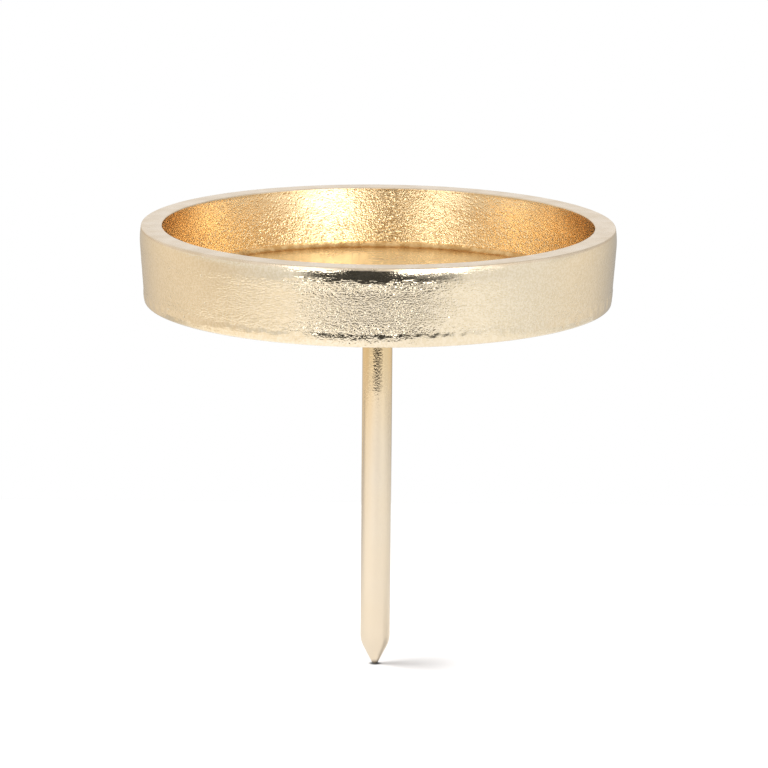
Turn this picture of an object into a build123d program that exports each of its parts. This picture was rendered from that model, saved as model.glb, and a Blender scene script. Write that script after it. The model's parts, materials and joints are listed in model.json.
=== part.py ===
from build123d import *
from math import asin, cos, degrees, radians, sin, tan
import os

os.makedirs("parts", exist_ok=True)

# A pillar candle holder: a shallow cast dish on a pointed spike, which is pushed into a wreath,
# a garland or floral foam. A countersunk screw through the dish's floor holds the spike.
# Millimetres, +Z up. The origin is where the spike's axis meets the underside of the dish.

# Dish
dish_diameter = 100.0  # at its widest, a little below the rim
dish_height = 16.2
floor_thickness = 3.3
widest_below_rim = 3.0
brow_radius = 16.0  # the outer wall rounds in above and below its widest circle
outer_draft = 4.1  # degrees: the casting narrows towards its underside
recess_diameter = 90.8  # at the rim; its flat floor takes candles up to 85 mm
inner_draft = 7.0
recess_corner_radius = 1.35
rim_inner_radius = 0.25
rim_outer_radius = 0.25
base_edge_radius = 0.5

# Spike
spike_diameter = 6.35
spike_length = 79.6  # below the underside of the dish
point_half_angle = 27.5  # degrees
point_tip_radius = 0.8
point_shoulder_radius = 6.0

# Countersunk M4 x 12 screw, thread simplified to a cylinder of its nominal diameter
thread_diameter = 4.0
screw_length = 12.0
head_diameter = 8.0
head_land = 0.25
head_below_floor = 0.15
head_angle = 90.0
screw_end_chamfer = 0.4
drive_width = 1.0
drive_span = 4.2
drive_depth = 1.7
drive_taper = 12.0
screw_hole_diameter = 4.5
tapped_depth = 11.0
drill_point_angle = 118.0

dish_radius = dish_diameter / 2
recess_radius = recess_diameter / 2
spike_radius = spike_diameter / 2
thread_radius = thread_diameter / 2
head_radius = head_diameter / 2

# The brow is one arc, centred level with the widest circle. It ends at the rim plane above, and
# below it runs into the drafted wall.
widest_z = dish_height - widest_below_rim
brow_centre = (dish_radius - brow_radius, widest_z)
rim_angle = degrees(asin(widest_below_rim / brow_radius))
rim_radius = brow_centre[0] + brow_radius * cos(radians(rim_angle))
wall_top_radius = brow_centre[0] + brow_radius * cos(radians(outer_draft))
wall_top_z = widest_z - brow_radius * sin(radians(outer_draft))
base_radius = wall_top_radius - wall_top_z * tan(radians(outer_draft))
recess_depth = dish_height - floor_thickness
recess_floor_radius = recess_radius - recess_depth * tan(radians(inner_draft))

# The head's cone lies on the countersink's, so the countersink is wider by what the head is sunk.
head_slope = tan(radians(head_angle / 2))
head_top_z = floor_thickness - head_below_floor
cone_top_z = head_top_z - head_land
cone_base_z = cone_top_z - (head_radius - thread_radius) / head_slope
countersink_radius = head_radius + (floor_thickness - cone_top_z) * head_slope
screw_tip_z = head_top_z - screw_length

# The point: a small ball end, a cone tangent to it, and a shoulder where it meets the shank.
tip_z = -spike_length
ball_z = tip_z + point_tip_radius
cone_start_radius = point_tip_radius * cos(radians(point_half_angle))
cone_start_z = ball_z - point_tip_radius * sin(radians(point_half_angle))
shank_end_z = cone_start_z + (spike_radius - cone_start_radius) / tan(radians(point_half_angle))
drill_point_height = thread_radius / tan(radians(drill_point_angle / 2))


# Dish: turned from its half section, then the corners are rounded and the screw hole is sunk.
with BuildPart() as dish:
    with BuildSketch(Plane.XZ):
        with BuildLine():
            CenterArc(brow_centre, brow_radius, -outer_draft, outer_draft + rim_angle)
            Polyline(
                (rim_radius, dish_height),
                (recess_radius, dish_height),
                (recess_floor_radius, floor_thickness),
                (0, floor_thickness),
                (0, 0),
                (base_radius, 0),
                (wall_top_radius, wall_top_z),
            )
        make_face()
    revolve(axis=Axis.Z)
    circles = dish.edges().filter_by(GeomType.CIRCLE)
    rim_edges = circles.group_by(Axis.Z)[-1].sort_by(SortBy.RADIUS)
    base_edge = circles.group_by(Axis.Z)[0]
    recess_edge = circles.group_by(Axis.Z)[1]
    fillet(rim_edges[0], rim_inner_radius)
    fillet(rim_edges[-1], rim_outer_radius)
    fillet(base_edge, base_edge_radius)
    fillet(recess_edge, recess_corner_radius)
    with Locations((0, 0, floor_thickness)):
        CounterSinkHole(
            radius=screw_hole_diameter / 2,
            counter_sink_radius=countersink_radius,
            counter_sink_angle=head_angle,
        )

# Spike: a plated rod, pointed at its lower end and tapped at its upper end.
with BuildPart() as spike:
    with BuildSketch(Plane.XZ):
        with BuildLine():
            TangentArc((0, tip_z), (cone_start_radius, cone_start_z), tangent=(1, 0))
            Polyline(
                (cone_start_radius, cone_start_z),
                (spike_radius, shank_end_z),
                (spike_radius, 0),
                (0, 0),
                (0, tip_z),
            )
        make_face()
    revolve(axis=Axis.Z)
    shank_ends = spike.edges().filter_by(GeomType.CIRCLE).sort_by(SortBy.RADIUS)[-2:]
    fillet(shank_ends.sort_by(Axis.Z)[0], point_shoulder_radius)
    with Locations((0, 0, 0)):
        Hole(radius=thread_radius, depth=tapped_depth)
    with Locations((0, 0, -tapped_depth)):
        Cone(
            bottom_radius=0,
            top_radius=thread_radius,
            height=drill_point_height,
            align=(Align.CENTER, Align.CENTER, Align.MAX),
            mode=Mode.SUBTRACT,
        )

# Screw: countersunk head with a cross recess, sunk just below the dish's floor.
with BuildPart() as dish_screw:
    with BuildSketch(Plane.XZ):
        with BuildLine():
            Polyline(
                (0, head_top_z),
                (head_radius, head_top_z),
                (head_radius, cone_top_z),
                (thread_radius, cone_base_z),
                (thread_radius, screw_tip_z),
                (0, screw_tip_z),
                close=True,
            )
        make_face()
    revolve(axis=Axis.Z)
    chamfer(dish_screw.edges().filter_by(GeomType.CIRCLE).sort_by(Axis.Z)[0], screw_end_chamfer)
    with BuildSketch(Plane.XY.offset(head_top_z)):
        Rectangle(drive_span, drive_width)
        Rectangle(drive_width, drive_span)
    extrude(amount=-drive_depth, taper=drive_taper, mode=Mode.SUBTRACT)

dish.part.label = "dish"
export_step(dish.part, "parts/dish.step")

spike.part.label = "spike"
export_step(spike.part, "parts/spike.step")

dish_screw.part.label = "dish_screw"
export_step(dish_screw.part, "parts/dish_screw.step")
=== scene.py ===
import json
import math

import bpy
import numpy as np
from mathutils import Matrix, Vector, noise


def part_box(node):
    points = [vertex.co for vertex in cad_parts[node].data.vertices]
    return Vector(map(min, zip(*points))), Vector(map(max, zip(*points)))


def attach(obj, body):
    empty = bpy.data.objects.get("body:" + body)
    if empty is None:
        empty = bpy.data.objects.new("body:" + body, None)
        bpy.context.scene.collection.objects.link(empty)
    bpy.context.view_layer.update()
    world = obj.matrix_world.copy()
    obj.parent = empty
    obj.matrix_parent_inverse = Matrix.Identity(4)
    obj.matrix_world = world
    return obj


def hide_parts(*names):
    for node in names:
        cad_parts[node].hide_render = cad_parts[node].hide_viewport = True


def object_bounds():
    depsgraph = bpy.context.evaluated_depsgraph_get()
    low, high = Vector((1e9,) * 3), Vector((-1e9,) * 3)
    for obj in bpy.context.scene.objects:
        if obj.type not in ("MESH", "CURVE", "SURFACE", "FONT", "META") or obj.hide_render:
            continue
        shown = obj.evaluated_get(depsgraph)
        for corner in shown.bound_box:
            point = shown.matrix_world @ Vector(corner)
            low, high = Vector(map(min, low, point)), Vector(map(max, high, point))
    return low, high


# Looks for a pillar candle holder: a shallow sand-cast dish on a pointed spike, both plated
# champagne gold. Metres throughout; MM turns a size in millimetres into metres.
MM = 0.001

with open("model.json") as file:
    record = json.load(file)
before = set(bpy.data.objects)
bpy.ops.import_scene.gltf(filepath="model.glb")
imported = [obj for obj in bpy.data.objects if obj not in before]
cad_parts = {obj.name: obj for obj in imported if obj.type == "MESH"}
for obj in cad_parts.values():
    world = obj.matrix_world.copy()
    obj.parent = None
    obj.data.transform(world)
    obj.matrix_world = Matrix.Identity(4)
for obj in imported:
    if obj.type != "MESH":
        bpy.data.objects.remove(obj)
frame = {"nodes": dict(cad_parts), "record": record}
cad_low, cad_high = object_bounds()
mounts = {m["name"]: m for m in frame["record"]["mounts"]}

# Sizes taken from the frame. The dish's underside is at z = 0.
_, dish_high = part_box("dish")
spike_low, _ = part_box("spike")
dish_radius = dish_high.x
rim_z = dish_high.z
floor_z = mounts["candle_seat"]["pos_m"][2]
spike_radius = mounts["spike"]["dims"]["r_mm"] * MM
tip_z = spike_low.z

# Dish section, as in the CAD solid
RECESS_RADIUS = 45.4 * MM
INNER_DRAFT = math.radians(7.0)
OUTER_DRAFT = math.radians(4.1)
BROW_RADIUS = 16.0 * MM
WIDEST_BELOW_RIM = 3.0 * MM
RIM_INNER_ROUND = 0.25 * MM
RIM_OUTER_ROUND = 0.25 * MM
CORNER_ROUND = 1.35 * MM
BASE_ROUND = 0.5 * MM
SCREW_HOLE_RADIUS = 2.25 * MM
COUNTERSINK_RADIUS = 4.4 * MM

# Spike point, as in the CAD solid
POINT_HALF_ANGLE = math.radians(27.5)
POINT_TIP_RADIUS = 0.8 * MM
POINT_SHOULDER_RADIUS = 6.0 * MM

# Camera: a long lens, a little above the rim
CAMERA_LENS = 189.8
CAMERA_SENSOR = 36
CAMERA_DISTANCE = 0.850
CAMERA_ELEVATION = math.radians(10.2)
CAMERA_PITCH = math.radians(12.461)
CAMERA_SIDE = 1.45 * MM
CAMERA_ROLL = math.radians(0.5)


# ---------------------------------------------------------------- outlines and turned meshes

def line(start, end, step):
    """Points from start towards end, about step apart, without the end itself."""
    start, end = np.array(start), np.array(end)
    count = max(1, round(float(np.linalg.norm(end - start)) / step))
    return [start + (end - start) * i / count for i in range(count)]


def on_circle(centre, radius, angle):
    return np.array(centre) + radius * np.array((math.cos(angle), math.sin(angle)))


def arc(centre, radius, start, end, count):
    """Points on a circle from angle start towards end, without the end itself."""
    return [on_circle(centre, radius, start + (end - start) * i / count) for i in range(count)]


def rounded(before, corner, after, radius, count):
    """The arc that rounds a corner between two straight runs, with its two tangent points."""
    before, corner, after = map(np.array, (before, corner, after))
    back = (before - corner) / np.linalg.norm(before - corner)
    ahead = (after - corner) / np.linalg.norm(after - corner)
    half = math.acos(float(back @ ahead)) / 2
    bisector = (back + ahead) / np.linalg.norm(back + ahead)
    centre = corner + bisector * radius / math.sin(half)
    first = corner + back * radius / math.tan(half) - centre
    last = corner + ahead * radius / math.tan(half) - centre
    begin, finish = math.atan2(first[1], first[0]), math.atan2(last[1], last[0])
    turn = (finish - begin + math.pi) % (2 * math.pi) - math.pi
    return [on_circle(centre, radius, begin + turn * i / count) for i in range(count + 1)]


def turned(name, rows, slots, segments, closed, displace=None):
    """A mesh of revolution about Z. rows are (r, z) points; slots gives each row's material index.
    displace(rows, angles) returns how far each point stands off the turned surface."""
    rows = np.array(rows)
    ahead, behind = np.roll(rows, -1, 0), np.roll(rows, 1, 0)
    if not closed:
        ahead[-1], behind[0] = rows[-1], rows[0]
    along = ahead - behind
    along /= np.linalg.norm(along, axis=1)[:, None]
    normal = np.stack((-along[:, 1], along[:, 0]), 1)
    angles = np.arange(segments) * 2 * math.pi / segments
    out = np.stack((np.sin(angles), -np.cos(angles)), 1)
    push = displace(rows, angles) if displace else np.zeros((len(rows), segments))
    radius = rows[:, :1] + normal[:, :1] * push
    height = rows[:, 1:] + normal[:, 1:] * push
    points = np.stack((radius * out[:, 0], radius * out[:, 1], height), 2).reshape(-1, 3)
    spans = len(rows) if closed else len(rows) - 1
    quads, indices = [], []
    for i in range(spans):
        a, b = i * segments, (i + 1) % len(rows) * segments
        for j in range(segments):
            k = (j + 1) % segments
            quads.append((a + j, b + j, b + k, a + k))
        indices += [slots[i]] * segments
    mesh = bpy.data.meshes.new(name)
    mesh.from_pydata([tuple(p) for p in points], [], quads)
    mesh.polygons.foreach_set("material_index", indices)
    mesh.polygons.foreach_set("use_smooth", [True] * len(quads))
    mesh.update()
    return add_object(name, mesh)


def add_object(name, data):
    thing = bpy.data.objects.new(name, data)
    bpy.context.scene.collection.objects.link(thing)
    return thing


# ---------------------------------------------------------------- shader helpers

class Nodes:
    """Short calls for building a node tree. A value may be a number or a socket."""

    def __init__(self, tree):
        self.tree = tree

    def make(self, kind, **settings):
        node = self.tree.nodes.new(kind)
        for key, value in settings.items():
            setattr(node, key, value)
        return node

    def put(self, socket, value):
        if isinstance(value, bpy.types.NodeSocket):
            self.tree.links.new(value, socket)
        elif value is not None:
            socket.default_value = value

    def math(self, operation, first, second=None):
        node = self.make("ShaderNodeMath", operation=operation)
        for socket, value in zip(node.inputs, (first, second)):
            self.put(socket, value)
        return node.outputs[0]

    def add(self, first, second):
        return self.math("ADD", first, second)

    def less(self, first, second):
        return self.math("SUBTRACT", first, second)

    def times(self, first, second):
        return self.math("MULTIPLY", first, second)

    def larger(self, first, second):
        return self.math("MAXIMUM", first, second)

    def ramp(self, value, low, high, start=0.0, end=1.0, smooth=True):
        """start below low, end above high, and a soft step between."""
        node = self.make("ShaderNodeMapRange")
        if smooth:
            node.interpolation_type = "SMOOTHSTEP"
        for name, given in zip(("Value", "From Min", "From Max", "To Min", "To Max"),
                               (value, low, high, start, end)):
            self.put(node.inputs[name], given)
        return node.outputs["Result"]

    def window(self, value, low, high, soft):
        """1 between low and high, 0 outside, with soft edges."""
        rise = self.ramp(value, low - soft, low + soft)
        fall = self.ramp(value, high - soft, high + soft, 1.0, 0.0)
        return self.times(rise, fall)

    def mix(self, factor, first, second):
        """The first colour where factor is 0, and the second where it is 1."""
        node = self.make("ShaderNodeMix", data_type="RGBA")
        self.put(node.inputs["Factor"], factor)
        self.put(node.inputs[6], first)
        self.put(node.inputs[7], second)
        return node.outputs[2]

    def blend(self, factor, first, second):
        """The first number where factor is 0, and the second where it is 1."""
        node = self.make("ShaderNodeMix", data_type="FLOAT")
        self.put(node.inputs["Factor"], factor)
        self.put(node.inputs[2], first)
        self.put(node.inputs[3], second)
        return node.outputs[0]

    def scaled(self, vector, sizes):
        """The vector with each part divided by its size."""
        node = self.make("ShaderNodeVectorMath", operation="MULTIPLY")
        self.put(node.inputs[0], vector)
        node.inputs[1].default_value = [1 / s for s in sizes]
        return node.outputs[0]

    def noise(self, vector, detail=2.0, roughness=0.5):
        node = self.make("ShaderNodeTexNoise")
        self.put(node.inputs["Vector"], vector)
        node.inputs["Scale"].default_value = 1.0
        node.inputs["Detail"].default_value = detail
        node.inputs["Roughness"].default_value = roughness
        return node.outputs["Fac"]

    def clouds(self, vector, size, detail=2.0):
        """Noise from 0 to 1, with grains of one size each way."""
        return self.noise(self.scaled(vector, (size,) * 3), detail=detail)

    def cells(self, vector, smoothness):
        """Distance from the nearest of scattered points."""
        node = self.make("ShaderNodeTexVoronoi", feature="SMOOTH_F1")
        self.put(node.inputs["Vector"], vector)
        node.inputs["Scale"].default_value = 1.0
        node.inputs["Smoothness"].default_value = smoothness
        node.inputs["Randomness"].default_value = 1.0
        return node.outputs["Distance"]

    def split(self, vector):
        node = self.make("ShaderNodeSeparateXYZ")
        self.put(node.inputs[0], vector)
        return node.outputs

    def place(self):
        """Object coordinates in metres, then their three parts, and the distance from the axis."""
        point = self.make("ShaderNodeTexCoord").outputs["Object"]
        x, y, z = self.split(point)
        flat = self.math("SQRT", self.add(self.times(x, x), self.times(y, y)))
        return point, x, y, z, flat


def plated(name, colour, deep, surface):
    """A plated metal. surface(nodes) returns its height in metres, roughness and share of deep colour."""
    material = bpy.data.materials.new(name)
    material.use_nodes = True
    nodes = Nodes(material.node_tree)
    shader = material.node_tree.nodes["Principled BSDF"]
    shader.inputs["Metallic"].default_value = 1.0
    height, rough, share = surface(nodes)
    nodes.put(shader.inputs["Base Color"], nodes.mix(share, (*colour, 1), (*deep, 1)))
    nodes.put(shader.inputs["Roughness"], rough)
    bump = nodes.make("ShaderNodeBump")
    bump.inputs["Strength"].default_value = 1.0
    bump.inputs["Distance"].default_value = 1.0
    nodes.put(bump.inputs["Height"], height)
    nodes.put(shader.inputs["Normal"], bump.outputs["Normal"])
    return material


# ---------------------------------------------------------------- metal surfaces

# Champagne plate, in pairs: the usual colour of a surface, then the one it varies to
BUFFED, SAND = (0.86, 0.757, 0.587), (0.77, 0.655, 0.465)  # outer wall
HONEY, UMBER_AND_SHADE = (0.86, 0.665, 0.395), (0.46, 0.27, 0.10)  # recess wall; brown at random, and brown as painted shade at both ends and under the rim
AMBER, SHADED_DEEP_AMBER = (0.82, 0.54, 0.25), (0.60, 0.35, 0.13)  # corner of the recess, coloured darker than the wall as painted shade, deeper at random
STRAW = (0.88, 0.75, 0.54)  # recess floor, which varies to HONEY
PEARL, WORN = (0.78, 0.652, 0.495), (0.71, 0.578, 0.415)  # rim
CHAMPAGNE, GOLDEN = (0.82, 0.725, 0.575), (0.80, 0.64, 0.42)  # underside and screw
SHELL, GILT_AND_REFLECTION = (0.74, 0.65, 0.52), (0.78, 0.59, 0.33)  # spike, varying at random, and more golden near the dish as a painted reflection

# The cast skin of the outer wall lies about between these two heights
FOOT_BAND = 2.3 * MM
BROW_BORDER = rim_z - 3.1 * MM


def relief(nodes, point, sizes, depth, detail=2.0):
    """Noise about zero: sizes are its grains' width each way and depth its range, in metres."""
    grains = nodes.noise(nodes.scaled(point, sizes), detail=detail, roughness=0.55)
    return nodes.times(nodes.less(grains, 0.5), depth)


def pebbles(nodes, point, sizes, depth):
    """Flat-topped grains packed side by side, sizes apart each way, with steep valleys between."""
    near = nodes.cells(nodes.scaled(point, sizes), smoothness=0.15)
    fall = nodes.math("POWER", near, 3.0)
    return nodes.times(nodes.less(0.12, fall), depth)


def cast_grain(nodes, point, size):
    """Sand-cast skin: packed grains about size apart, on finer unevenness."""
    grains = pebbles(nodes, point, sizes=(size, size, 0.8 * size), depth=0.14 * size)
    finer = (0.6 * size, 0.6 * size, 0.5 * size)
    uneven = relief(nodes, point, sizes=finer, depth=0.24 * size, detail=1.0)
    return nodes.add(grains, uneven)


def pits(nodes, point, spacing, width, depth):
    """Scattered round pits, or dots where depth is negative: width is their share of the spacing."""
    near = nodes.cells(nodes.scaled(point, (spacing,) * 3), smoothness=0.0)
    return nodes.ramp(near, width * 0.4, width, -depth, 0.0)


def cast_skin(nodes, point, x, z, calmer):
    """The outer wall's grain, strong in front and coarse next to the brow and the foot, with 1 where
    it lies and 0 on the buffed brow and foot."""
    wander = relief(nodes, point, sizes=(2.6 * MM, 2.6 * MM, 0.5 * MM), depth=2.4 * MM)
    level = nodes.add(z, wander)
    skin = nodes.window(level, FOOT_BAND + 0.4 * MM, BROW_BORDER, soft=0.25 * MM)
    under_brow = nodes.ramp(level, rim_z - 7.5 * MM, rim_z - 4.2 * MM)
    above_foot = nodes.ramp(level, 6.4 * MM, 3.4 * MM)

    fine = nodes.times(cast_grain(nodes, point, size=0.46 * MM), 0.80)
    coarse = nodes.times(cast_grain(nodes, point, size=0.66 * MM), nodes.blend(calmer, 0.98, 0.70))
    grain = nodes.blend(nodes.larger(under_brow, above_foot), fine, coarse)
    lumps = relief(nodes, point, sizes=(1.0 * MM, 1.0 * MM, 0.7 * MM), depth=0.16 * MM)
    grain = nodes.add(grain, nodes.times(lumps, above_foot))

    front = nodes.window(x, -15 * MM, 8 * MM, soft=5 * MM)
    patches = nodes.ramp(nodes.clouds(point, 14 * MM), 0.52, 0.64, 0.0, 0.3)
    rougher = nodes.blend(nodes.larger(front, patches), 0.38, 0.90)
    in_foot_band = nodes.ramp(z, 3.0 * MM, 2.0 * MM)
    buffed = nodes.blend(nodes.times(front, in_foot_band), 0.10, 0.36)
    return nodes.times(grain, nodes.blend(skin, buffed, rougher)), skin


def brow_laps(nodes, point, x, z, calmer):
    """Metal lapped in thin sheets where the brow runs into the cast skin, most of it in front."""
    laps = relief(nodes, point, sizes=(3.2 * MM, 3.2 * MM, 0.75 * MM), depth=1.0)
    border = nodes.window(z, rim_z - 4.8 * MM, rim_z - 2.3 * MM, soft=0.4 * MM)
    stretch = nodes.ramp(nodes.clouds(point, 7 * MM), 0.40, 0.60, 0.5, 1.0)
    front = nodes.window(x, -16 * MM, 17 * MM, soft=3 * MM)
    deepest = nodes.blend(front, 0.07 * MM, nodes.blend(calmer, 0.35 * MM, 0.18 * MM))
    depth = nodes.blend(nodes.times(border, stretch), 0.006 * MM, deepest)
    return nodes.times(laps, depth)


def outer_surface(nodes):
    """The outer wall: a buffed brow and foot, and cast skin between."""
    point, x, _, z, _ = nodes.place()
    calmer = nodes.ramp(x, 2 * MM, 8 * MM)
    grain, skin = cast_skin(nodes, point, x, z, calmer)
    height = nodes.add(grain, brow_laps(nodes, point, x, z, calmer))
    hairlines = relief(nodes, point, sizes=(2.5 * MM, 2.5 * MM, 0.28 * MM), depth=0.014 * MM)
    chips = pits(nodes, point, spacing=5.0 * MM, width=0.07, depth=0.07 * MM)
    height = nodes.add(height, nodes.add(hairlines, chips))
    rough = nodes.blend(skin, 0.09, 0.11)
    specks = nodes.ramp(nodes.clouds(point, 0.5 * MM, detail=1.0), 0.40, 0.60)
    share = nodes.blend(0.60, nodes.clouds(point, 11 * MM, detail=3.0), specks)
    return height, rough, share


def inner_surface(nodes):
    """The recess wall: cast skin with pits low down, brown at random, and brown painted shade at both sides
    and along the rim.
    """
    point, x, _, z, _ = nodes.place()
    low_down = nodes.ramp(z, rim_z - 3.0 * MM, rim_z - 9.0 * MM)
    hollows = pits(nodes, point, spacing=1.1 * MM, width=0.26, depth=0.07 * MM)
    dots = pits(nodes, point, spacing=0.75 * MM, width=0.42, depth=-0.048 * MM)
    grain = relief(nodes, point, sizes=(0.28 * MM,) * 3, depth=0.060 * MM, detail=1.0)
    skin = nodes.add(nodes.add(grain, dots), nodes.times(hollows, low_down))
    middle = nodes.window(x, -7 * MM, 10 * MM, soft=3 * MM)
    strength = nodes.blend(low_down, nodes.blend(middle, 0.45, 1.0), 1.05)
    height = nodes.times(skin, strength)
    rough = nodes.blend(low_down, 0.24, 0.16)
    # Painted shade: brown towards both ends of the recess, most under the rim, and along the top edge just
    # under the rim
    sides = nodes.ramp(nodes.math("ABSOLUTE", nodes.add(x, 1 * MM)), 32 * MM, 46 * MM)
    under_rim = nodes.ramp(z, rim_z - 6 * MM, rim_z - 0.5 * MM, 0.35, 1.0)
    edge = nodes.ramp(z, rim_z - 0.9 * MM, rim_z - 0.3 * MM, 0.0, 0.5)
    painted_shade = nodes.larger(nodes.times(sides, under_rim), edge)
    share = nodes.add(nodes.times(nodes.clouds(point, 5 * MM, detail=3.0), 0.22), painted_shade)
    return height, rough, share


def corner_surface(nodes):
    """The corner of the recess: cast skin, coloured darker than the wall as painted shade."""
    point = nodes.place()[0]
    height = relief(nodes, point, sizes=(0.6 * MM,) * 3, depth=0.16 * MM)
    rough = nodes.ramp(nodes.clouds(point, 1.5 * MM), 0.3, 0.7, 0.22, 0.36)
    # The whole corner is coloured darker than the wall as painted shade; how much darker varies at random
    share = nodes.ramp(nodes.clouds(point, 1.6 * MM, detail=3.0), 0.35, 0.65)
    return height, rough, share


def turned_rings(nodes, x, y, flat, pitch, reach):
    """Lathe marks: they follow circles about the axis, and change slowly along them."""
    ring = nodes.make("ShaderNodeCombineXYZ")
    nodes.put(ring.inputs[0], nodes.math("DIVIDE", flat, pitch))
    nodes.put(ring.inputs[1], nodes.math("DIVIDE", x, reach))
    nodes.put(ring.inputs[2], nodes.math("DIVIDE", y, reach))
    return nodes.noise(ring.outputs[0])


def floor_surface(nodes):
    """The recess floor, the underside and the screw: turned, smooth to the touch."""
    point, x, y, _, flat = nodes.place()
    rings = turned_rings(nodes, x, y, flat, pitch=0.4 * MM, reach=25 * MM)
    swell = nodes.clouds(point, 3 * MM)
    height = nodes.add(nodes.times(rings, 0.008 * MM), nodes.times(swell, 0.02 * MM))
    rough = nodes.ramp(nodes.clouds(point, 6 * MM), 0.3, 0.7, 0.18, 0.28)
    share = nodes.clouds(point, 12 * MM, detail=3.0)
    return height, rough, share


def rim_surface(nodes):
    """The rim face: satin, faced in a lathe, with worn patches and small nicks."""
    point, x, y, _, flat = nodes.place()
    rings = turned_rings(nodes, x, y, flat, pitch=0.25 * MM, reach=12 * MM)
    grain = relief(nodes, point, sizes=(0.45 * MM,) * 3, depth=0.02 * MM)
    nicks = pits(nodes, point, spacing=3.2 * MM, width=0.10, depth=0.05 * MM)
    height = nodes.add(nodes.times(rings, 0.004 * MM), nodes.add(grain, nicks))
    rough = nodes.ramp(nodes.clouds(point, 4 * MM), 0.3, 0.7, 0.24, 0.34)
    share = nodes.ramp(nodes.clouds(point, 5 * MM, detail=5.0), 0.36, 0.64)
    return height, rough, share


def rod_surface(nodes):
    """The spike: drawn rod with fine lines along it, filed, grainy, and more golden near the dish as a
    painted reflection.
    """
    point, _, _, z, _ = nodes.place()
    lines = relief(nodes, point, sizes=(0.5 * MM, 0.5 * MM, 14 * MM), depth=0.020 * MM)
    high_up = nodes.ramp(z, -23 * MM, -16 * MM, 0.25, 1.0)
    grain = relief(nodes, point, sizes=(0.40 * MM, 0.40 * MM, 0.45 * MM), depth=0.040 * MM)
    filed = nodes.ramp(z, -19 * MM, 0.0, 0.0, -0.34 * MM, smooth=False)
    height = nodes.add(nodes.add(lines, filed), nodes.times(grain, high_up))
    rough = nodes.ramp(z, -40 * MM, -10 * MM, 0.20, 0.07)
    patches = nodes.clouds(point, 8 * MM, detail=3.0)
    # Painted reflection: the colour turns more golden towards the dish
    golden = nodes.ramp(z, -36 * MM, -2 * MM)
    share = nodes.add(nodes.times(patches, 0.25), nodes.times(golden, 0.95))
    return height, rough, share


# ---------------------------------------------------------------- dish

OUTER, INNER, CORNER, FLOOR, RIM, UNDER = range(6)

DISH_SEGMENTS = 640
WALL_STEP = 0.42 * MM
LEDGE_STEP = 0.2 * MM
EDGE_STEP = 0.6 * MM
FLAT_STEP = 3.0 * MM

# The mesh is finer this far above and below the top of the foot band, where the ledge is
LEDGE_REACH = 1.2 * MM


def dish_rows():
    """The dish's half section, from the screw hole over the floor and the rim to the underside."""
    brow_centre = np.array((dish_radius - BROW_RADIUS, rim_z - WIDEST_BELOW_RIM))
    rim_angle = math.asin(WIDEST_BELOW_RIM / BROW_RADIUS)
    rim_outer = on_circle(brow_centre, BROW_RADIUS, rim_angle)
    below_rim = on_circle(brow_centre, BROW_RADIUS, rim_angle * 0.87)
    wall_top = on_circle(brow_centre, BROW_RADIUS, -OUTER_DRAFT)
    base = (wall_top[0] - wall_top[1] * math.tan(OUTER_DRAFT), 0.0)
    recess_floor = (RECESS_RADIUS - (rim_z - floor_z) * math.tan(INNER_DRAFT), floor_z)
    recess_rim = (RECESS_RADIUS, rim_z)
    sink_z = floor_z - (COUNTERSINK_RADIUS - SCREW_HOLE_RADIUS)

    corner = rounded((0.0, floor_z), recess_floor, recess_rim, CORNER_ROUND, 7)
    rim_inner = rounded(recess_floor, recess_rim, rim_outer, RIM_INNER_ROUND, 5)
    rim_edge = rounded(recess_rim, rim_outer, below_rim, RIM_OUTER_ROUND, 6)
    foot = rounded(wall_top, base, (0.0, 0.0), BASE_ROUND, 5)
    brow_start = rim_edge[-1] - brow_centre
    brow = arc(brow_centre, BROW_RADIUS, math.atan2(brow_start[1], brow_start[0]), -OUTER_DRAFT, 12)[1:]
    ledge_top, ledge_foot = (
        (base[0] + z * math.tan(OUTER_DRAFT), z) for z in (FOOT_BAND + LEDGE_REACH, FOOT_BAND - LEDGE_REACH))

    parts = [
        (UNDER, line((SCREW_HOLE_RADIUS, 0.0), (SCREW_HOLE_RADIUS, sink_z), EDGE_STEP)),
        (FLOOR, line((SCREW_HOLE_RADIUS, sink_z), (COUNTERSINK_RADIUS, floor_z), EDGE_STEP)),
        (FLOOR, line((COUNTERSINK_RADIUS, floor_z), corner[0], FLAT_STEP)),
        (CORNER, corner[:-1]),
        (INNER, line(corner[-1], rim_inner[0], WALL_STEP)),
        (RIM, rim_inner[:-1]),
        (RIM, line(rim_inner[-1], rim_edge[0], EDGE_STEP)),
        (RIM, rim_edge),
        (OUTER, brow),
        (OUTER, line(wall_top, ledge_top, WALL_STEP)),
        (OUTER, line(ledge_top, ledge_foot, LEDGE_STEP)),
        (OUTER, line(ledge_foot, foot[0], WALL_STEP)),
        (OUTER, foot[:-1]),
        (UNDER, line(foot[-1], (SCREW_HOLE_RADIUS, 0.0), FLAT_STEP)),
    ]
    rows = [p for _, points in parts for p in points]
    slots = [s for s, points in parts for _ in points]
    return rows, slots


def clamped(value):
    return min(max(value, 0.0), 1.0)


def bumps(at, size, depth):
    """Noise about zero at a point: size is its lumps' width and depth how far they stand off."""
    return depth * noise.noise(at / size)


def foot_ledge(at, angle):
    """How far the foot band stands proud at a point. Its edge wanders, and is broken in places.
    All in millimetres."""
    around = Vector((at.x, at.y, 0.0))
    wander = bumps(around, 6.0, 0.35) + bumps(around, 1.3, 0.80)
    tilt = 0.45 * math.sin(angle)
    edge = FOOT_BAND / MM + 0.15 + tilt + wander
    slope_height = 0.7
    rise = clamped((edge + slope_height / 2 - at.z) / slope_height)
    strength = 0.075 + bumps(around, 1.9, 0.150)
    above_base = clamped((at.z - 0.5) / 0.8)
    return rise * strength * above_base


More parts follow.
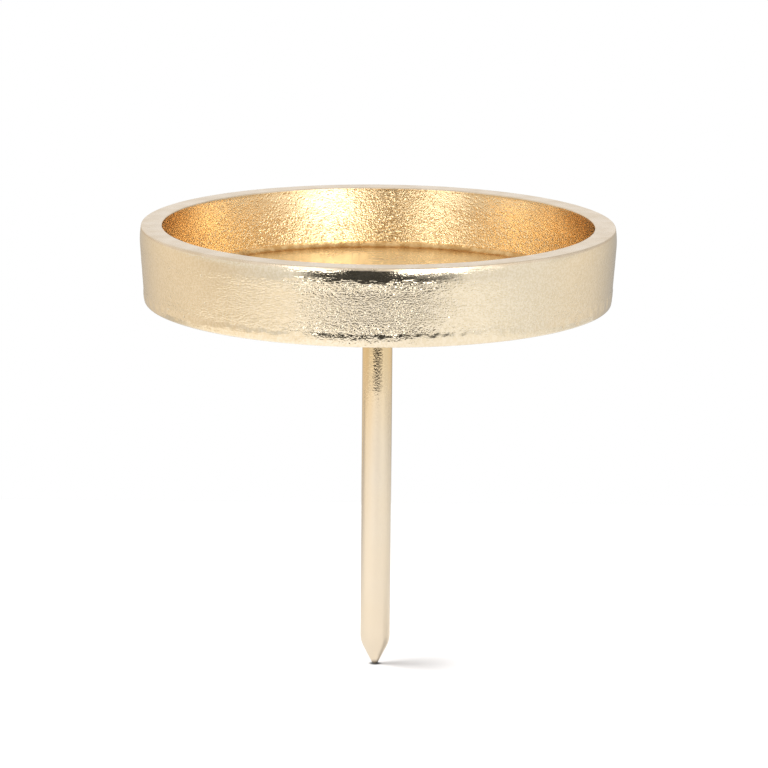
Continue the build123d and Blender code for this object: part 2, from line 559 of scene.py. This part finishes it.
def room_to_swell(slot, height):
    """0 at the edges of a cast wall, which are left true, and 1 further in."""
    if slot == OUTER:
        inset = min(height - 1.0 * MM, rim_z - 1.6 * MM - height)
    else:
        inset = min(height - floor_z - CORNER_ROUND, rim_z - 0.8 * MM - height)
    return clamped(inset / (1.2 * MM))


def dish_relief(slots):
    """The function that tells turned how far each point of the cast walls stands off."""
    def stand_off(rows, angles):
        push = np.zeros((len(rows), len(angles)))
        for i, (radius, height) in enumerate(rows):
            slot = slots[i]
            if slot not in (OUTER, INNER):
                continue
            fade = room_to_swell(slot, height)
            for j, angle in enumerate(angles):
                at = Vector((radius * math.sin(angle), -radius * math.cos(angle), height)) / MM
                wave = bumps(at, 7.0, 0.024)
                lumps = bumps(at, 1.9, 0.016) + bumps(at, 1.1, 0.010)
                push[i, j] = (wave + lumps * (1.3 if slot == INNER else 1.0)) * fade * MM
                if slot == OUTER:
                    push[i, j] += foot_ledge(at, angle) * MM
        return push
    return stand_off


def make_dish():
    rows, slots = dish_rows()
    piece = turned("cast_dish", rows, slots, DISH_SEGMENTS, True, dish_relief(slots))
    for material in (
        plated("cast_outer", BUFFED, SAND, outer_surface),
        plated("cast_inner", HONEY, UMBER_AND_SHADE, inner_surface),
        plated("cast_corner", AMBER, SHADED_DEEP_AMBER, corner_surface),
        plated("turned_floor", STRAW, HONEY, floor_surface),
        plated("faced_rim", PEARL, WORN, rim_surface),
        plated("underside", CHAMPAGNE, GOLDEN, floor_surface),
    ):
        piece.data.materials.append(material)
    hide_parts("dish")
    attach(piece, "root")


# ---------------------------------------------------------------- spike and screw

SPIKE_SEGMENTS = 96

# The mesh of revolution has pinholes on the axis: one at the top, hidden by the dish, and one at
# the tip, where the ball end stops just short of straight down.
TOP_PINHOLE = 0.1 * MM
BALL_END = -math.pi / 2 * 0.985


def make_spike():
    ball = (0.0, tip_z + POINT_TIP_RADIUS)
    cone_start = (POINT_TIP_RADIUS * math.cos(POINT_HALF_ANGLE),
                  ball[1] - POINT_TIP_RADIUS * math.sin(POINT_HALF_ANGLE))
    cone_height = (spike_radius - cone_start[0]) / math.tan(POINT_HALF_ANGLE)
    shoulder = (spike_radius, cone_start[1] + cone_height)
    curve = rounded((spike_radius, 0.0), shoulder, cone_start, POINT_SHOULDER_RADIUS, 10)
    rows = line((TOP_PINHOLE, 0.0), (spike_radius, 0.0), 1.5 * MM)
    rows += line((spike_radius, 0.0), curve[0], 1.0 * MM)
    rows += curve[:-1]
    rows += line(curve[-1], cone_start, 0.5 * MM)
    rows += arc(ball, POINT_TIP_RADIUS, -POINT_HALF_ANGLE, BALL_END, 9)
    piece = turned("plated_spike", rows, [0] * len(rows), SPIKE_SEGMENTS, False)
    piece.data.materials.append(plated("drawn_rod", SHELL, GILT_AND_REFLECTION, rod_surface))
    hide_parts("spike")
    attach(piece, "root")


def finish_screw():
    screw = frame["nodes"]["dish_screw"]
    metal = plated("screw_metal", CHAMPAGNE, GOLDEN, floor_surface)
    for slot in screw.material_slots:
        slot.material = metal


# ---------------------------------------------------------------- stage and light

FLOOR_FRONT = -0.335
FLOOR_BACK = 0.14
FLOOR_HALF_WIDTH = 0.26
# The floor is darker on the left and paler on the right, partly as painted shade and light that even out the
# key, which is nearer the left
FLOOR_MIDDLE = (0.56, 0.555, 0.56, 1)
FLOOR_RIGHT = (0.668, 0.662, 0.65, 1)
FLOOR_LEFT = (0.40, 0.368, 0.323, 1)
PAINTED_TIP_SHADOW = (0.02, 0.02, 0.02, 1)
BLACK = (0, 0, 0, 1)
WHITE = (1, 1, 1, 1)

KEY_DISTANCE = 1.2
KEY_RISE = math.radians(20)
KEY_WIDTH = 0.35
KEY_LENGTH = 1.3
KEY_ENERGY = 60.0


def floor_colour(nodes, x, y, flat):
    """Paler on the right and darker on the left, partly as painted light and shade that even out the key,
    which is nearer the left; warmer on the left, darker behind, and nearly black under the tip, where a
    contact shadow is painted.
    """
    colour = nodes.mix(nodes.ramp(x, 0.0, 0.25), FLOOR_MIDDLE, FLOOR_RIGHT)
    colour = nodes.mix(nodes.ramp(x, -0.02, -0.25), colour, FLOOR_LEFT)
    behind = nodes.times(nodes.ramp(y, -0.03, 0.10), nodes.ramp(x, -0.10, 0.05, 0.42, 0.22))
    colour = nodes.mix(behind, colour, BLACK)
    # A painted contact shadow: nearly black within about 1.7 mm of the tip
    return nodes.mix(nodes.ramp(flat, 0.6 * MM, 1.7 * MM, 0.9, 0.0), colour, PAINTED_TIP_SHADOW)


def make_stage():
    """The floor. It ends in front, where the metal sees the dark room beyond. Away from the tip it
    also glows for the camera alone, so its colours show only in the metal."""
    mesh = bpy.data.meshes.new("stage_floor")
    corners = [
        (-FLOOR_HALF_WIDTH, FLOOR_FRONT, cad_low.z),
        (FLOOR_HALF_WIDTH, FLOOR_FRONT, cad_low.z),
        (FLOOR_HALF_WIDTH, FLOOR_BACK, cad_low.z),
        (-FLOOR_HALF_WIDTH, FLOOR_BACK, cad_low.z),
    ]
    mesh.from_pydata(corners, [], [(0, 1, 2, 3)])
    floor = add_object("stage_floor", mesh)
    material = bpy.data.materials.new("pale_floor")
    material.use_nodes = True
    nodes = Nodes(material.node_tree)
    shader = material.node_tree.nodes["Principled BSDF"]
    _, x, y, _, flat = nodes.place()
    nodes.put(shader.inputs["Base Color"], floor_colour(nodes, x, y, flat))
    shader.inputs["Roughness"].default_value = 0.9
    shader.inputs["Specular IOR Level"].default_value = 0.0
    shader.inputs["Emission Color"].default_value = WHITE
    seen = nodes.make("ShaderNodeLightPath").outputs["Is Camera Ray"]
    fill = nodes.ramp(flat, 4 * MM, 34 * MM, 0.0, 0.45)
    nodes.put(shader.inputs["Emission Strength"], nodes.times(seen, fill))
    mesh.materials.append(material)


def make_key():
    """A soft light on the left, which the metal doesn't mirror: it gives the tip its shadow."""
    light = bpy.data.lights.new("key", "AREA")
    light.shape = "ELLIPSE"
    light.size, light.size_y = KEY_WIDTH, KEY_LENGTH
    light.energy = KEY_ENERGY
    key = add_object("key", light)
    tip = Vector((0, 0, tip_z))
    key.location = tip + Vector((-math.cos(KEY_RISE), 0, math.sin(KEY_RISE))) * KEY_DISTANCE
    key.rotation_euler = (tip - key.location).to_track_quat("-Z", "X").to_euler()
    key.visible_camera = False
    key.visible_glossy = False


# ---------------------------------------------------------------- studio

# What the metal mirrors. Directions are sides, counted from the front towards the right, and
# rises above the horizon, both in degrees.
WARM_LEFT = (1.0, 0.89, 0.75, 1)
WARM_RIGHT = (1.0, 0.94, 0.86, 1)

# The right box, the left box, and some spill beside the right one: sides, rises and strength
SOFT_BOXES = (
    ((9, 43), (3.8, 20), 4.6),
    ((-43, -18), (6.0, 16), 3.4),
    ((47, 61), (4, 14), 0.80),
)


def patch(nodes, side, rise, sides, rises, side_soft, rise_soft):
    """1 where a direction is between two sides and two rises, with soft edges."""
    across = nodes.window(side, *sides, side_soft)
    up = nodes.window(rise, *rises, rise_soft)
    return nodes.times(across, up)


def pale_room(nodes, side, rise, low):
    """The room's brightness: less on the right and overhead, and low down behind the object."""
    ahead = nodes.ramp(nodes.math("ABSOLUTE", side), 140, 165, 1.0, 0.0)
    left = nodes.ramp(side, -80, -50, 0.94, 0.98)
    upper = nodes.blend(ahead, 0.98, nodes.ramp(side, 80, 106, left, 0.68))
    upper = nodes.blend(nodes.ramp(rise, 35, 70), upper, 0.80)
    lower = nodes.ramp(side, -180, -115, 0.56, 0.96)
    lower = nodes.times(lower, nodes.ramp(side, 105, 175, 1.0, 0.50))
    lower = nodes.less(lower, nodes.times(nodes.window(side, -92, -40, 12), 0.08))
    return nodes.blend(low, upper, lower)


def dark_front(nodes, side, rise):
    """1 where the room is dark: round the camera, and in a gap below and between the soft boxes."""
    gap = patch(nodes, side, rise, (-34, 37), (-9, 4.0), side_soft=6.0, rise_soft=1.5)
    low_gap = patch(nodes, side, rise, (-27, 29), (-40, -8), side_soft=6.0, rise_soft=1.5)
    lens = patch(nodes, side, rise, (-21, 13), (-40, 17), side_soft=4.0, rise_soft=3.0)
    return nodes.larger(nodes.larger(gap, low_gap), lens)


def dark_light(nodes, direction, side, rise):
    """The dark front's brightness: uneven, and dim rather than dark towards the right box."""
    murk = nodes.noise(nodes.scaled(direction, (0.10, 0.10, 0.05)))
    murk = nodes.ramp(murk, 0.35, 0.65, 0.015, 0.10)
    dim = nodes.times(nodes.ramp(side, 11, 24), nodes.ramp(rise, -10, 1))
    return nodes.blend(dim, murk, 0.42)


def room_tint(nodes, side, low):
    """White in front and high up, warm low down at the sides and behind."""
    warm = nodes.mix(nodes.ramp(side, -20, 20), WARM_LEFT, WARM_RIGHT)
    reach = nodes.ramp(nodes.math("ABSOLUTE", nodes.less(side, 16)), 55, 105)
    return nodes.mix(nodes.times(reach, low), WHITE, warm)


def make_world():
    """The studio, which the camera itself sees as plain white."""
    world = bpy.data.worlds.new("studio")
    bpy.context.scene.world = world
    world.use_nodes = True
    world.node_tree.nodes.clear()
    nodes = Nodes(world.node_tree)
    direction = nodes.make("ShaderNodeTexCoord").outputs["Generated"]
    x, y, z = nodes.split(direction)
    degrees = 180 / math.pi
    side = nodes.times(nodes.math("ARCTAN2", x, nodes.times(y, -1.0)), degrees)
    rise = nodes.times(nodes.math("ARCSINE", z), degrees)
    low = nodes.ramp(rise, 3, -3)

    light = pale_room(nodes, side, rise, low)
    light = nodes.blend(dark_front(nodes, side, rise), light, dark_light(nodes, direction, side, rise))
    for sides, rises, strength in SOFT_BOXES:
        box = patch(nodes, side, rise, sides, rises, side_soft=2.0, rise_soft=1.5)
        light = nodes.add(light, nodes.times(box, strength))

    seen = nodes.make("ShaderNodeLightPath").outputs["Is Camera Ray"]
    background = nodes.make("ShaderNodeBackground")
    nodes.put(background.inputs["Color"], nodes.mix(seen, room_tint(nodes, side, low), WHITE))
    nodes.put(background.inputs["Strength"], nodes.blend(seen, light, 1.0))
    output = nodes.make("ShaderNodeOutputWorld")
    nodes.put(output.inputs["Surface"], background.outputs[0])


# ---------------------------------------------------------------- camera

def make_camera():
    camera = bpy.data.cameras.new("camera")
    camera.lens = CAMERA_LENS
    camera.sensor_width = CAMERA_SENSOR
    camera.clip_start, camera.clip_end = 0.01, 20
    holder = add_object("camera", camera)
    bpy.context.scene.camera = holder
    offset = Vector((0, -math.cos(CAMERA_ELEVATION), math.sin(CAMERA_ELEVATION))) * CAMERA_DISTANCE
    place = Matrix.Translation(Vector((CAMERA_SIDE, 0, rim_z)) + offset)
    tilt = Matrix.Rotation(math.pi / 2 - CAMERA_PITCH, 4, "X")
    roll = Matrix.Rotation(CAMERA_ROLL, 4, "Z")
    holder.matrix_world = place @ tilt @ roll


make_dish()
make_spike()
finish_screw()
make_stage()
make_key()
make_world()
make_camera()
bpy.context.scene.view_settings.view_transform = "Standard"
